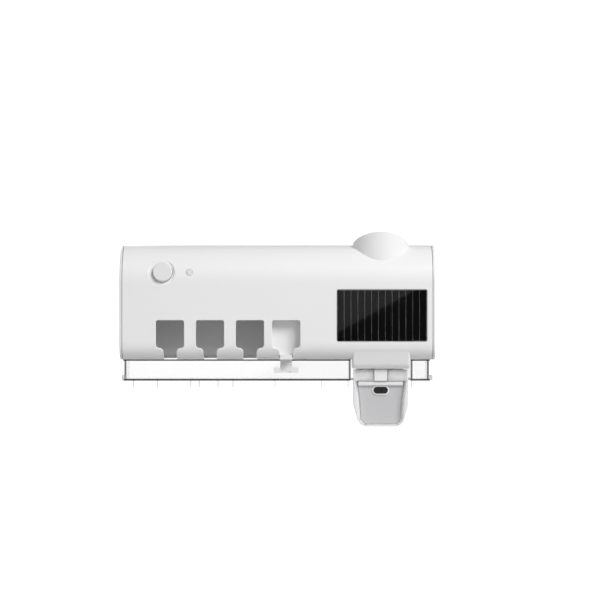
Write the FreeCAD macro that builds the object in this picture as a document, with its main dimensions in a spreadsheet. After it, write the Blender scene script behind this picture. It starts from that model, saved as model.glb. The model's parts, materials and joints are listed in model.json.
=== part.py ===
import FreeCAD, Part
import math
import os
import re

import Sketcher

# Wall-mounted toothbrush sanitizer with a toothpaste dispenser.
# Frame: X to the right, +Y into the wall, +Z up. The wall is the plane y = 0, the housing's
# middle is x = 0 and z = 0. A "depth" is a distance out from the wall, so y = -depth.
# Sketches on FRONT have x and z as their axes and grow outwards from the wall, sketches on
# SIDE have y and z and grow along +X, and sketches on PLAN have x and y and grow upwards.
FRONT = "XZ_Plane"
SIDE = "YZ_Plane"
PLAN = "XY_Plane"

SIZES = {
    # housing shell
    "half_width": 115.0,
    "half_tall": 42.0,
    "depth": 56.0,
    "wall": 2.2,
    "top_round": 27.3,
    "low_round": 12.5,
    "rear_edge": 1.5,
    "lip_edge": 41.5,
    "cap_thick": 1.6,
    "seam": 0.45,
    "rim_long": 3.2,
    "rim_thick": 1.4,
    "rim_rear": 8.0,
    # brush slots in the front
    "slot_first": -78.3,
    "slot_pitch": 29.1,
    "razor_slot": 6.3,
    "slot_wide": 20.4,
    "slot_top": -13.2,
    "slot_shoulder": -33.3,
    "neck_wide": 9.6,
    "slot_round": 1.5,
    "shoulder_round": 2.5,
    # push button and status light on the curved part of the front
    "button_x": -83.7,
    "button_up": 21.8,
    "light_x": -64.0,
    "face_dip": 1.5,
    "face_radius": 9.8,
    "cap_radius": 7.1,
    "cap_gap": 0.3,
    "cap_proud": 1.6,
    "face_shift": 0.9,
    "light_radius": 2.6,
    "light_proud": 0.4,
    # solar panel
    "solar_left": 43.2,
    "solar_right": 108.8,
    "solar_low": -28.6,
    "solar_high": 9.1,
    "solar_round": 1.0,
    "solar_cells": 13,
    "cell_gap": 0.45,
    # dispenser: collar, chin and lever share one centre line
    "dispenser_x": 75.6,
    "collar_deep": 29.0,
    "collar_out": 22.0,
    "collar_in": 20.4,
    "collar_base": 22.0,
    "rim_mid": 38.0,
    "rim_slope": 0.617,
    "chin_half": 21.2,
    "chin_rear": 38.0,
    "chin_wall": 2.0,
    "chin_drop": 48.75,
    "chin_round": 6.0,
    "seal_bore": 6.0,
    "hose_out": 4.0,
    "hose_in": 2.5,
    "pump_deep": 17.0,
    # lever and its hinge
    "hinge_deep": 40.0,
    "hinge_up": -43.0,
    "pin_radius": 1.5,
    "pin_fit": 0.06,
    "barrel": 3.3,
    "lever_half": 20.1,
    "lever_top": -49.3,
    "lever_foot": -91.0,
    "lever_front": 46.0,
    "lever_rear": 36.0,
    "outlet_up": -64.6,
    "outlet_wide": 10.7,
    "outlet_tall": 5.1,
    # drip tray under the chamber
    "tray_left": -112.5,
    "tray_right": 111.0,
    "tray_front": 40.8,
    "tray_rear": 8.8,
    "tray_top": -40.4,
    "tray_floor": -57.6,
    "tray_wall": 1.4,
    "tray_notch": 22.0,
    # back cover and wall bracket
    "pad_thick": 1.0,
    "plate_front": 3.8,
    "cover_rear": 4.4,
    "cover_front": 6.4,
    "hook_x": 50.0,
    "hook_half": 7.0,
    "hook_top": 2.0,
    "hook_thick": 3.0,
    "hook_lip": 8.0,
    "lift_travel": 9.0,
    "screw_hole_x": 66.0,
    "screw_hole": 2.2,
    # electronics
    "board_thick": 1.6,
    "board_rear": 9.6,
    "battery_x": 2.0,
    "battery_up": 20.0,
    "battery_deep": 20.0,
    "battery_radius": 9.2,
    "battery_long": 65.2,
}

doc = FreeCAD.newDocument("toothbrush_sanitizer")
sheet = doc.addObject("Spreadsheet::Sheet", "sizes")
for row, (alias, number) in enumerate(SIZES.items(), start=1):
    sheet.set(f"A{row}", alias.replace("_", " "))
    sheet.set(f"B{row}", str(number))
    sheet.setAlias(f"B{row}", alias)
doc.recompute()

nodes = []


# ---------------------------------------------------------------- expressions and sketches


def bound(expression):
    """The expression with every word that names a size pointed at its cell in the sheet."""

    def cell(word):
        return f"sizes.{word[0]}" if word[0] in SIZES else word[0]

    return re.sub(r"[a-z_]+", cell, str(expression))


def value(expression):
    """The expression's number now, for first guesses and for shapes without expressions."""
    found = sheet.evalExpression(bound(expression))
    return float(getattr(found, "Value", found))


def bind(target, properties):
    for name, expression in properties.items():
        target.setExpression(name, bound(expression))


def fix_point(sketch, geometry, end, point):
    """Hold one end of a piece of sketch geometry at two expressions."""
    for kind, expression in zip(("DistanceX", "DistanceY"), point):
        index = sketch.addConstraint(Sketcher.Constraint(kind, geometry, end, value(expression)))
        sketch.setExpression(f"Constraints[{index}]", bound(expression))


def fix_radius(sketch, geometry, radius):
    index = sketch.addConstraint(Sketcher.Constraint("Radius", geometry, value(radius)))
    sketch.setExpression(f"Constraints[{index}]", bound(radius))


def circle(across, up, radius):
    """A circle with its centre and radius bound to expressions."""

    def draw(sketch):
        centre = FreeCAD.Vector(value(across), value(up), 0)
        drawn = sketch.addGeometry(Part.Circle(centre, FreeCAD.Vector(0, 0, 1), value(radius)))
        fix_point(sketch, drawn, 3, (across, up))
        fix_radius(sketch, drawn, radius)

    return draw


def arc_between(start, end, radius, turn):
    """The arc from start to end that turns left (1) or right (-1), and which end is its first."""
    chord = end - start
    reach = math.sqrt(max(radius**2 - (chord.Length / 2) ** 2, 0))
    side = FreeCAD.Vector(-chord.y, chord.x, 0).normalize() * turn
    centre = start + chord * 0.5 + side * reach
    first, last = (start, end) if turn > 0 else (end, start)
    angles = [math.atan2(point.y - centre.y, point.x - centre.x) for point in (first, last)]
    return Part.ArcOfCircle(Part.Circle(centre, FreeCAD.Vector(0, 0, 1), radius), *angles)


def outline(start, *steps):
    """A closed outline: each step is a corner (a, b), or an arc to it (a, b, radius, turn)."""

    def draw(sketch):
        corners = [start] + [step[:2] for step in steps]
        spots = [FreeCAD.Vector(value(a), value(b), 0) for a, b in corners]
        runs = list(steps) + [start] if spots[-1].distanceToPoint(spots[0]) > 1e-6 else list(steps)
        count = len(runs)
        ends = []
        for index, run in enumerate(runs):
            here, there = spots[index], spots[(index + 1) % count]
            if len(run) == 4:
                drawn = sketch.addGeometry(arc_between(here, there, value(run[2]), run[3]))
                fix_radius(sketch, drawn, run[2])
                ends.append((drawn, 1, 2) if run[3] > 0 else (drawn, 2, 1))
            else:
                ends.append((sketch.addGeometry(Part.LineSegment(here, there)), 1, 2))
        for index, (drawn, first, _) in enumerate(ends):
            before, _, last = ends[index - 1]
            sketch.addConstraint(Sketcher.Constraint("Coincident", before, last, drawn, first))
            fix_point(sketch, drawn, first, corners[index])

    return draw


def rectangle(left, low, right, high):
    return outline((left, low), (right, low), (right, high), (left, high))


def rounded(left, low, right, high, radius):
    """A rectangle with four round corners."""
    inner_left, inner_right = f"{left} + ({radius})", f"{right} - ({radius})"
    inner_low, inner_high = f"{low} + ({radius})", f"{high} - ({radius})"
    return outline(
        (inner_left, low),
        (inner_right, low),
        (right, inner_low, radius, 1),
        (right, inner_high),
        (inner_right, high, radius, 1),
        (inner_left, high),
        (left, inner_high, radius, 1),
        (left, inner_low),
        (inner_left, low, radius, 1),
    )


def stadium(across, up, wide, tall):
    """A slot with round ends, wider than it is tall."""
    left, right = f"{across} - ({wide} - {tall}) / 2", f"{across} + ({wide} - {tall}) / 2"
    low, high = f"{up} - ({tall}) / 2", f"{up} + ({tall}) / 2"
    quarter = f"({tall}) / 2"
    return outline(
        (left, low),
        (right, low),
        (f"{right} + {quarter}", up, quarter, 1),
        (right, high, quarter, 1),
        (left, high),
        (f"{left} - {quarter}", up, quarter, 1),
        (left, low, quarter, 1),
    )


def new_sketch(body, plane, low, shapes, tilted_at=None):
    """A sketch on one of the body's own planes, moved along its normal to low."""
    sketch = body.newObject("Sketcher::SketchObject", "Sketch")
    origin_plane = [part for part in body.Origin.OriginFeatures if part.Role == plane][0]
    sketch.AttachmentSupport = [(origin_plane, "")]
    sketch.MapMode = "FlatFace"
    if tilted_at is None:
        bind(sketch, {"AttachmentOffset.Base.z": low})
    else:
        angle, out, up = tilted_at
        turn = FreeCAD.Rotation(FreeCAD.Vector(1, 0, 0), -10)
        sketch.AttachmentOffset = FreeCAD.Placement(FreeCAD.Vector(), turn)
        bind(
            sketch,
            {
                "AttachmentOffset.Rotation.Angle": f"-({angle})",
                "AttachmentOffset.Base.z": f"{out} + ({low}) * cos({angle})",
                "AttachmentOffset.Base.y": f"{up} + ({low}) * sin({angle})",
            },
        )
    for draw in shapes:
        draw(sketch)
    return sketch


# ---------------------------------------------------------------- features and sub-parts


def new_body(label):
    body = doc.addObject("PartDesign::Body", label)
    keep(body, label)
    return body


def keep(shape, label):
    """Give an object the label of its node and remember to write it out."""
    shape.Label = label
    nodes.append(shape)
    return shape


def grow(body, plane, low, high, *shapes, tilted_at=None):
    """Add material between two heights along the plane's normal."""
    feature = body.newObject("PartDesign::Pad", "Pad")
    feature.Profile = new_sketch(body, plane, low, shapes, tilted_at)
    bind(feature, {"Length": f"({high}) - ({low})"})
    return feature


def carve(body, plane, low, high, *shapes, tilted_at=None):
    """Remove material between two heights along the plane's normal."""
    feature = body.newObject("PartDesign::Pocket", "Pocket")
    feature.Profile = new_sketch(body, plane, low, shapes, tilted_at)
    feature.Reversed = True
    bind(feature, {"Length": f"({high}) - ({low})"})
    return feature


def carve_loft(body, plane, low, low_shape, high, high_shape):
    """Remove a tapering pocket between two outlines."""
    feature = body.newObject("PartDesign::SubtractiveLoft", "Loft")
    feature.Profile = new_sketch(body, plane, low, [low_shape])
    feature.Sections = [(new_sketch(body, plane, high, [high_shape]), [""])]
    feature.Ruled = True
    return feature


def turned(label, shape, across, up, depth, along_y=False):
    """A body turned from one outline of radius and height, set at a place in the frame."""
    body = new_body(label)
    feature = body.newObject("PartDesign::Revolution", "Revolution")
    sketch = new_sketch(body, FRONT, "0", [shape])
    feature.Profile = sketch
    feature.ReferenceAxis = (sketch, ["V_Axis"])
    feature.Angle = 360
    angle = 90 if along_y else 0
    turn = FreeCAD.Rotation(FreeCAD.Vector(1, 0, 0), angle)
    body.Placement = FreeCAD.Placement(FreeCAD.Vector(), turn)
    bind(body, {"Placement.Base.x": across, "Placement.Base.y": f"-({depth})", "Placement.Base.z": up})
    return body


def box(left, right, near, far, low, high):
    """A plain block between two x values, two depths and two heights."""
    block = doc.addObject("Part::Box", "Box")
    bind(
        block,
        {
            "Length": f"({right}) - ({left})",
            "Width": f"({far}) - ({near})",
            "Height": f"({high}) - ({low})",
            "Placement.Base.x": left,
            "Placement.Base.y": f"-({far})",
            "Placement.Base.z": low,
        },
    )
    return block


DIRECTIONS = {
    "x": FreeCAD.Rotation(FreeCAD.Vector(0, 1, 0), 90),
    "out": FreeCAD.Rotation(FreeCAD.Vector(1, 0, 0), 90),
    "up": FreeCAD.Rotation(),
}


def rod(direction, across, depth, up, radius, length):
    """A cylinder from a point along x, out from the wall, or up."""
    bar = doc.addObject("Part::Cylinder", "Rod")
    bar.Placement = FreeCAD.Placement(FreeCAD.Vector(), DIRECTIONS[direction])
    bind(
        bar,
        {
            "Radius": radius,
            "Height": length,
            "Placement.Base.x": across,
            "Placement.Base.y": f"-({depth})",
            "Placement.Base.z": up,
        },
    )
    return bar


def joined(shapes):
    fused = doc.addObject("Part::MultiFuse", "Fuse")
    fused.Shapes = shapes
    return fused


def without(base, tools):
    cut = doc.addObject("Part::Cut", "Cut")
    cut.Base = base
    cut.Tool = tools[0] if len(tools) == 1 else joined(tools)
    return cut


def group(label, shapes):
    """Several separate solids that make one node."""
    compound = doc.addObject("Part::Compound", label)
    compound.Links = shapes
    return keep(compound, label)


def screws(label, spots, seat, head_radius, head_tall, shank_radius, shank_long, inward=False):
    """Pan-head screws: each head stands on a face at depth seat, inward with its head at the wall side."""
    made = []
    for across, up in spots:
        head_from = f"{seat} - {head_tall}" if inward else seat
        shank_from = seat if inward else f"{seat} - {shank_long}"
        head = rod("out", across, head_from, up, head_radius, head_tall)
        shank = rod("out", across, shank_from, up, shank_radius, shank_long)
        drive = rod("out", across, head_from if inward else f"{seat} + {head_tall} - 0.8", up, "0.7", "0.8")
        made.append(without(joined([head, shank]), [drive]))
    return group(label, made)


def bent_path(points, bend):
    """Straight runs joined by tangent arcs; bend is the arc radius as a share of what the runs allow."""
    edges = []
    here = points[0]
    for corner, after in zip(points[1:-1], points[2:]):
        before = points[points.index(corner) - 1]
        coming, going = (corner - before).normalize(), (after - corner).normalize()
        turn = coming.getAngle(going)
        shorter = min((corner - before).Length, (after - corner).Length)
        setback = bend * shorter
        radius = setback / math.tan(turn / 2)
        start, end = corner - coming * setback, corner + going * setback
        inward = (going - coming).normalize()
        middle = corner + inward * (radius / math.cos(turn / 2) - radius)
        edges.append(Part.LineSegment(here, start).toShape())
        edges.append(Part.Arc(start, middle, end).toShape())
        here = end
    edges.append(Part.LineSegment(here, points[-1]).toShape())
    return Part.Wire(edges)


def swept(points, radius, bend=0.45):
    """A round bar of one radius along a bent path."""
    path = bent_path(points, bend)
    heading = (points[1] - points[0]).normalize()
    section = Part.Wire([Part.Circle(points[0], heading, radius).toShape()])
    return path.makePipeShell([section], True, False)


def lead_pair(label, route, spread, radius=0.6):
    """Two insulated wires side by side along one route; spread is the offset between them."""
    bars = []
    for side in (-0.5, 0.5):
        shift = FreeCAD.Vector(*spread) * side
        bars.append(swept([FreeCAD.Vector(x, -deep, z) + shift for x, deep, z in route], radius))
    feature = doc.addObject("Part::Feature", label)
    feature.Shape = Part.makeCompound(bars)
    return keep(feature, label)


# ---------------------------------------------------------------- housing shell

SURFACE_TILT = "asin((button_up - half_tall + top_round) / top_round)"
SURFACE_OUT = f"depth - top_round + top_round * cos({SURFACE_TILT})"
BUTTON_AXIS = (SURFACE_TILT, SURFACE_OUT, "button_up")


def shell_outline(rear, outer, inner):
    """The housing's side profile as a strip between two distances in from the outer skin."""
    front, behind = f"-(depth - ({outer}))", f"-(depth - ({inner}))"
    top_centre, low_centre = "half_tall - top_round", "-(half_tall - low_round)"
    return outline(
        (f"-({rear})", f"half_tall - ({outer})"),
        ("-(depth - top_round)", f"half_tall - ({outer})"),
        (front, top_centre, f"top_round - ({outer})", 1),
        (front, low_centre),
        ("-(depth - low_round)", f"-half_tall + ({outer})", f"low_round - ({outer})", 1),
        ("-lip_edge", f"-half_tall + ({outer})"),
        ("-lip_edge", f"-half_tall + ({inner})"),
        ("-(depth - low_round)", f"-half_tall + ({inner})"),
        (behind, low_centre, f"low_round - ({inner})", -1),
        (behind, top_centre),
        ("-(depth - top_round)", f"half_tall - ({inner})", f"top_round - ({inner})", -1),
        (f"-({rear})", f"half_tall - ({inner})"),
    )


def slot_outline(centre):
    """A toothbrush slot: a square window with soft shoulders and a neck that opens downwards."""
    half, neck = "slot_wide / 2", "neck_wide / 2"
    mouth = "slot_wide / 2 - shoulder_round - neck_wide / 2"
    left, right = f"{centre} - {half}", f"{centre} + {half}"
    shoulder = "slot_shoulder + shoulder_round"
    return outline(
        (f"{left} + slot_round", "slot_top"),
        (left, "slot_top - slot_round", "slot_round", 1),
        (left, shoulder),
        (f"{left} + shoulder_round", "slot_shoulder", "shoulder_round", 1),
        (f"{centre} - {neck}", f"slot_shoulder - ({mouth})", mouth, -1),
        (f"{centre} - {neck}", "-half_tall - 4"),
        (f"{centre} + {neck}", "-half_tall - 4"),
        (f"{centre} + {neck}", f"slot_shoulder - ({mouth})"),
        (f"{right} - shoulder_round", "slot_shoulder", mouth, -1),
        (right, shoulder, "shoulder_round", 1),
        (right, "slot_top - slot_round"),
        (f"{right} - slot_round", "slot_top", "slot_round", 1),
    )


def slot_centres():
    return [f"(slot_first + {index} * slot_pitch)" for index in range(3)] + ["razor_slot"]


TOP_BOSSES = [(across, "35.2") for across in ("-105", "0", "105")]
LOW_BOSSES = [(across, "-36") for across in ("-105", "44", "105")]
BOSS_SPOTS = TOP_BOSSES + LOW_BOSSES


def chin_outline(inset):
    """The hood over the lever's hinge, from the housing's lower curve to its own lip."""
    return outline(
        (f"-(54.1 - {inset})", f"-36.1 + {inset} * 0.6"),
        (f"-(50.5 - {inset} * 0.93)", f"-45 + {inset} * 0.37"),
        ("-44.94", f"-chin_drop + {inset}", f"chin_round - {inset}", 1),
        ("-chin_rear", f"-chin_drop + {inset}"),
        ("-chin_rear", "-34.9"),
        (f"-(54.1 - {inset})", "-34.9"),
    )


def front_cover():
    body = new_body("front_cover")
    across = "dispenser_x"
    grow(body, PLAN, "collar_base", "55", circle(across, "-collar_deep", "collar_out"))
    sharp = "collar_deep + (half_tall - 1 - rim_mid) / rim_slope"
    above_rim = outline(
        ("0", "half_tall - 1"),
        (f"-({sharp})", "half_tall - 1"),
        ("-60", "rim_mid + rim_slope * (60 - collar_deep)"),
        ("-60", "60"),
        ("0", "60"),
    )
    carve(body, SIDE, f"{across} - 30", f"{across} + 30", above_rim)
    chin_left, chin_right = f"{across} - chin_half", f"{across} + chin_half"
    grow(body, SIDE, chin_left, chin_right, chin_outline("0"))
    half_cover = "(half_width - cap_thick - seam)"
    grow(body, SIDE, f"-{half_cover}", half_cover, shell_outline("rear_edge", "0", "wall"))
    grow(body, FRONT, "cover_front", "41", *[circle(x, z, "3.3") for x, z in TOP_BOSSES])
    grow(body, FRONT, "cover_front", "49.8", *[circle(x, z, "3.3") for x, z in LOW_BOSSES])
    ring = circle("button_x", "0", "11")
    grow(body, FRONT, "-5.5", "-2.3", ring, tilted_at=BUTTON_AXIS)
    posts = [circle("button_x - 8.6", "7", "1.8"), circle("light_x + 6", "0", "1.8")]
    grow(body, FRONT, "-14.7", "-1.5", *posts, tilted_at=BUTTON_AXIS)
    carve(body, PLAN, "collar_base - 1", "60", circle(across, "-collar_deep", "collar_in"))
    hood = outline(
        ("-52.2", "-34.9"),
        ("-48.65", "-44.25"),
        ("-44.94", "-chin_drop + chin_wall", "chin_round - chin_wall", 1),
        ("-43.5", "-chin_drop + chin_wall"),
        ("-43.5", "-50"),
        ("-30", "-50"),
        ("-30", "-34.9"),
    )
    carve(body, SIDE, f"{chin_left} + chin_wall", f"{chin_right} - chin_wall", hood)
    for centre in slot_centres():
        carve(body, FRONT, "lip_edge - 1", "depth + 1", slot_outline(centre))
    window = rounded("solar_left", "solar_low", "solar_right", "solar_high", "solar_round")
    carve(body, FRONT, "depth - wall - 1", "depth + 1", window)
    dish = circle("button_x - face_shift", "0", "face_radius")
    carve(body, FRONT, "-face_dip", "6", dish, tilted_at=BUTTON_AXIS)
    carve(body, FRONT, "-9", "2", circle("button_x", "0", "cap_radius + cap_gap"), tilted_at=BUTTON_AXIS)
    carve(body, FRONT, "-4", "2", circle("light_x", "0", "light_radius"), tilted_at=BUTTON_AXIS)
    carve(body, FRONT, "cover_front - 1", "32", *[circle(x, z, "1.3") for x, z in BOSS_SPOTS])
    soften(body, "PartDesign::Fillet", 0.5, is_slot_edge)
    soften(body, "PartDesign::Chamfer", 0.5, is_window_edge)
    soften(body, "PartDesign::Fillet", 1.8, is_chin_corner)
    return body


def soften(body, kind, size, wanted):
    """Round or bevel the edges whose start, middle and end all pass the test."""
    doc.recompute()
    plain = body.Tip
    names = []
    for number, edge in enumerate(plain.Shape.Edges, start=1):
        span = edge.LastParameter - edge.FirstParameter
        places = [edge.valueAt(edge.FirstParameter + share * span) for share in (0, 0.5, 1)]
        if all(wanted(place) for place in places):
            names.append(f"Edge{number}")
    feature = body.newObject(kind, "Soften")
    feature.Base = (plain, names)
    if kind.endswith("Fillet"):
        feature.Radius = size
    else:
        feature.Size = size


def is_on_skin(place):
    """True on the flat front or on the lower curve of the housing."""
    low_centre = value("low_round - half_tall")
    if place.z > low_centre:
        return abs(place.y + value("depth")) < 1e-3
    reach = math.hypot(place.y + value("depth - low_round"), place.z - low_centre)
    return abs(reach - value("low_round")) < 1e-3


def is_slot_edge(place):
    sideways = min(abs(place.x - value(centre)) for centre in slot_centres())
    lip = place.z > value("-half_tall") + 0.1
    return is_on_skin(place) and lip and sideways < 11 and place.z < value("slot_top") + 0.1


def is_window_edge(place):
    inside_x = value("solar_left") - 0.1 < place.x < value("solar_right") + 0.1
    inside_z = value("solar_low") - 0.1 < place.z < value("solar_high") + 0.1
    return inside_x and inside_z and abs(place.y + value("depth")) < 1e-3


def is_chin_corner(place):
    on_side = abs(abs(place.x - value("dispenser_x")) - value("chin_half")) < 1e-3
    return on_side and place.z < -36.2 and place.y < -44.9


def end_cap(label, side):
    """A thin end plate with a rim that slides into the shell; side is -1 at the left, 1 at the right."""
    body = new_body(label)
    face = outline(
        ("-rear_edge", "half_tall"),
        ("-(depth - top_round)", "half_tall"),
        ("-depth", "half_tall - top_round", "top_round", 1),
        ("-depth", "-(half_tall - low_round)"),
        ("-(depth - low_round)", "-half_tall", "low_round", 1),
        ("-rear_edge", "-half_tall"),
    )
    inside = "half_width - cap_thick"
    rim_end = f"{inside} - rim_long"
    rim = shell_outline("rim_rear", "wall + 0.1", "wall + 0.1 + rim_thick")
    if side > 0:
        grow(body, SIDE, inside, "half_width", face)
        grow(body, SIDE, rim_end, inside, rim)
    else:
        grow(body, SIDE, "-half_width", f"-({inside})", face)
        grow(body, SIDE, f"-({inside})", f"-({rim_end})", rim)
        port = rounded("-board_rear - 5.1", "16.8", "-board_rear - 1.3", "26.2", "1.6")
        carve(body, SIDE, "-half_width - 1", "-half_width + 3", port)
    soften(body, "PartDesign::Chamfer", 0.5, is_cap_border)
    return body


def is_cap_border(place):
    """True on the border of an end cap's outer face, and not round its charging port."""
    outside = abs(abs(place.x) - value("half_width")) < 1e-3
    near_port = place.y > -value("board_rear + 6") and value("16") < place.z < value("27")
    at_rear = abs(place.y + value("rear_edge")) < 1e-3
    return outside and (at_rear or not near_port)


def back_cover():
    body = new_body("back_cover")
    half = "(half_width - cap_thick - 0.2)"
    plate = rectangle(f"-{half}", "-half_tall + 0.2", half, "half_tall - wall - 0.05")
    grow(body, FRONT, "cover_rear", "cover_front", plate)
    posts = [circle(x, z, "2.5") for x, z in BOARD_SPOTS]
    grow(body, FRONT, "cover_front", "board_rear", *posts)
    standoffs = [circle(f"dispenser_x + {x}", "-31", "3") for x in (-10, 10)]
    grow(body, FRONT, "cover_front", "9", *standoffs)
    for side in (-1, 1):
        left, right = f"{side} * hook_x - hook_half - 0.6", f"{side} * hook_x + hook_half + 0.6"
        low = "hook_top - hook_thick - lift_travel - 0.3"
        window = rectangle(left, low, right, "hook_top + 0.2")
        carve(body, FRONT, "cover_rear - 1", "cover_front + 1", window)
    holes = [circle(x, z, "1.3") for x, z in BOSS_SPOTS]
    carve(body, FRONT, "cover_rear - 1", "cover_front + 1", *holes)
    pilots = [circle(x, z, "0.9") for x, z in BOARD_SPOTS]
    pilots += [circle(f"dispenser_x + {x}", "-31", "1.1") for x in (-10, 10)]
    carve(body, FRONT, "cover_rear + 0.6", "board_rear + 1", *pilots)
    return body


# ---------------------------------------------------------------- button, light and boards

BOARD_SPOTS = [("-104", "14.8"), ("-52", "14.8"), ("-104", "28.2"), ("-52", "28.2")]


def tilted_body(label):
    """A body whose own frame is the button's: its z axis runs out of the curved front."""
    body = new_body(label)
    body.Placement = FreeCAD.Placement(FreeCAD.Vector(), FreeCAD.Rotation(FreeCAD.Vector(1, 0, 0), 75))
    bind(
        body,
        {
            "Placement.Rotation.Angle": f"90 - {SURFACE_TILT} / 1 deg",
            "Placement.Base.x": "button_x",
            "Placement.Base.y": f"-({SURFACE_OUT})",
            "Placement.Base.z": "button_up",
        },
    )
    return body


def power_button():
    body = tilted_body("power_button")
    grow(body, PLAN, "-7", "cap_proud", circle("0", "0", "cap_radius"))
    grow(body, PLAN, "-7", "-5.8", circle("0", "0", "cap_radius + 1.5"))
    grow(body, PLAN, "-10", "-7", circle("0", "0", "2.5"))
    soften(body, "PartDesign::Fillet", 0.8, is_cap_top)
    return body


def is_cap_top(place):
    return abs(place.z - value("cap_proud")) < 1e-3


def switch_plunger():
    body = tilted_body("switch_plunger")
    grow(body, PLAN, "-11.8", "-10", circle("0", "0", "1.7"))
    return body


def tact_switch():
    body = tilted_body("tact_switch")
    grow(body, PLAN, "-14.7", "-11.2", rounded("-3", "-3", "3", "3", "0.3"))
    carve(body, PLAN, "-13", "-11", circle("0", "0", "1.8"))
    return body


def switch_board():
    body = tilted_body("switch_board")
    right = "light_x - button_x + 9.5"
    grow(body, PLAN, "-16.3", "-14.7", rounded("-11.5", "-9", right, "9.5", "1.5"))
    return body


def indicator_lens():
    body = tilted_body("indicator_lens")
    grow(body, PLAN, "-11.9", "light_proud", circle("light_x - button_x", "0", "light_radius"))
    grow(body, PLAN, "-4.9", "-2.9", circle("light_x - button_x", "0", "light_radius + 0.9"))
    soften(body, "PartDesign::Fillet", 1.0, is_lens_top)
    return body


def is_lens_top(place):
    return abs(place.z - value("light_proud")) < 1e-3


def indicator_led():
    body = tilted_body("indicator_led")
    centre = "light_x - button_x"
    grow(body, PLAN, "-14.7", "-13.6", rectangle(f"{centre} - 1.6", "-1.4", f"{centre} + 1.6", "1.4"))
    grow(body, PLAN, "-13.6", "-12.1", circle(centre, "0", "1.2"))
    return body


def main_board():
    body = new_body("main_board")
    front = "board_rear + board_thick"
    grow(body, FRONT, "board_rear", front, rounded("-111", "12", "-45", "31", "1"))
    holes = [circle(x, z, "0.9") for x, z in BOARD_SPOTS]
    carve(body, FRONT, "board_rear - 1", f"{front} + 1", *holes)
    return body


def board_components():
    """The chips, coil and capacitors on the front of the main board."""
    front = "(board_rear + board_thick)"
    made = []
    for left, low, wide, tall, thick in (
        (-96, 17, 9, 9, 1.6),
        (-82, 22, 6, 6, 2.8),
        (-72, 17, 5, 6.5, 1.5),
        (-64, 25, 3.2, 1.8, 1.2),
    ):
        chip = box(f"{left}", f"{left + wide}", front, f"{front} + {thick}", f"{low}", f"{low + tall}")
        made.append(chip)
    made += [rod("out", f"{x}", front, "27.5", "2", "5.4") for x in (-90.5, -85.5)]
    return group("board_components", made)


def usb_port():
    """A metal receptacle that opens through the left end cap."""
    body = new_body("usb_port")
    front = "board_rear + board_thick"
    shell = rounded(f"-({front}) - 3.2", "17.1", f"-({front})", "25.9", "1.3")
    grow(body, SIDE, "-half_width + cap_thick + 0.05", "-106.2", shell)
    mouth = rounded(f"-({front}) - 2.9", "17.4", f"-({front}) - 0.3", "25.6", "1.0")
    carve(body, SIDE, "-half_width", "-107.6", mouth)
    tongue = rectangle(f"-({front}) - 1.95", "18.4", f"-({front}) - 1.25", "24.6")
    grow(body, SIDE, "-112.6", "-107", tongue)
    return body


def battery():
    left = "battery_x - battery_long / 2"
    cell = rod("x", left, "battery_deep", "battery_up", "battery_radius", "battery_long")
    keep(cell, "battery_cell")
    ends = ("battery_x - 35", "battery_x + 35")
    block = box(*ends, "cover_front", "battery_deep", "battery_up - 11", "battery_up + 11")
    room = rod("x", left, "battery_deep", "battery_up", "battery_radius", "battery_long")
    keep(without(block, [room]), "battery_cradle")
    plates = []
    for inner, outer in (
        (f"{left} - 0.6", left),
        ("battery_x + battery_long / 2", "battery_x + battery_long / 2 + 0.6"),
    ):
        plate = box(inner, outer, "battery_deep", "battery_deep + 5", "battery_up - 4", "battery_up + 4")
        plates.append(plate)
    group("battery_contacts", plates)


# ---------------------------------------------------------------- solar panel


def solar_parts():
    pane = new_body("solar_window")
    area = rounded("solar_left", "solar_low", "solar_right", "solar_high", "solar_round")
    grow(pane, FRONT, "depth - 1.3", "depth - 0.1", area)
    backing = new_body("solar_backing")
    grow(backing, FRONT, "depth - wall", "depth - 1.6", area)
    flange = rounded("solar_left - 0.8", "solar_low - 0.8", "solar_right + 0.8", "solar_high + 2", "1")
    grow(backing, FRONT, "depth - wall - 1.4", "depth - wall", flange)
    strips = []
    pitch = "((solar_right - solar_left - 2 * 0.6 + cell_gap) / solar_cells)"
    for index in range(SIZES["solar_cells"]):
        left = f"solar_left + 0.6 + {index} * {pitch}"
        right = f"{left} + {pitch} - cell_gap"
        strips.append(box(left, right, "depth - 1.6", "depth - 1.3", "solar_low + 0.6", "solar_high - 0.6"))
    group("solar_cells", strips)


# ---------------------------------------------------------------- sterilising chamber

CHAMBER = {"left": "-98", "right": "28", "top": "-2", "rear": "10.4"}


def inside_outline(rear, top, clear):
    """The space behind the front skin, down its lower curve, as a side profile."""
    front, low_centre = f"-(depth - wall - {clear})", "-(half_tall - low_round)"
    return outline(
        (f"-({rear})", top),
        (front, top),
        (front, low_centre),
        ("-(depth - low_round)", f"-half_tall + wall + {clear}", f"low_round - wall - {clear}", 1),
        (f"-({rear})", f"-half_tall + wall + {clear}"),
    )


def chamber_liner():
    body = new_body("chamber_liner")
    tub = inside_outline(CHAMBER["rear"], CHAMBER["top"], "0.02")
    grow(body, SIDE, CHAMBER["left"], CHAMBER["right"], tub)
    room = rectangle("-60", "-45", "-12", "-3.6")
    carve(body, SIDE, f"{CHAMBER['left']} + 1.6", f"{CHAMBER['right']} - 1.6", room)
    carve(body, PLAN, "-5", "0", circle("-84", "-30", "2.2"))
    return body


def lamp_parts():
    left, right = "-90", "20"
    keep(box(f"{left} + 1.5", f"{right} - 1.5", "24", "36", "-5.2", "-3.6"), "uv_lamp_board")
    leds = [box(f"{x} - 1.75", f"{x} + 1.75", "28.25", "31.75", "-6.5", "-5.2") for x in slot_centres()]
    group("uv_leds", leds)
    tub = box(left, right, "22.5", "37.5", "-8.6", "-3.6")
    room = box(f"{left} + 1.2", f"{right} - 1.2", "23.7", "36.3", "-7.4", "-3")
    keep(without(tub, [room]), "uv_window")


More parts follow.
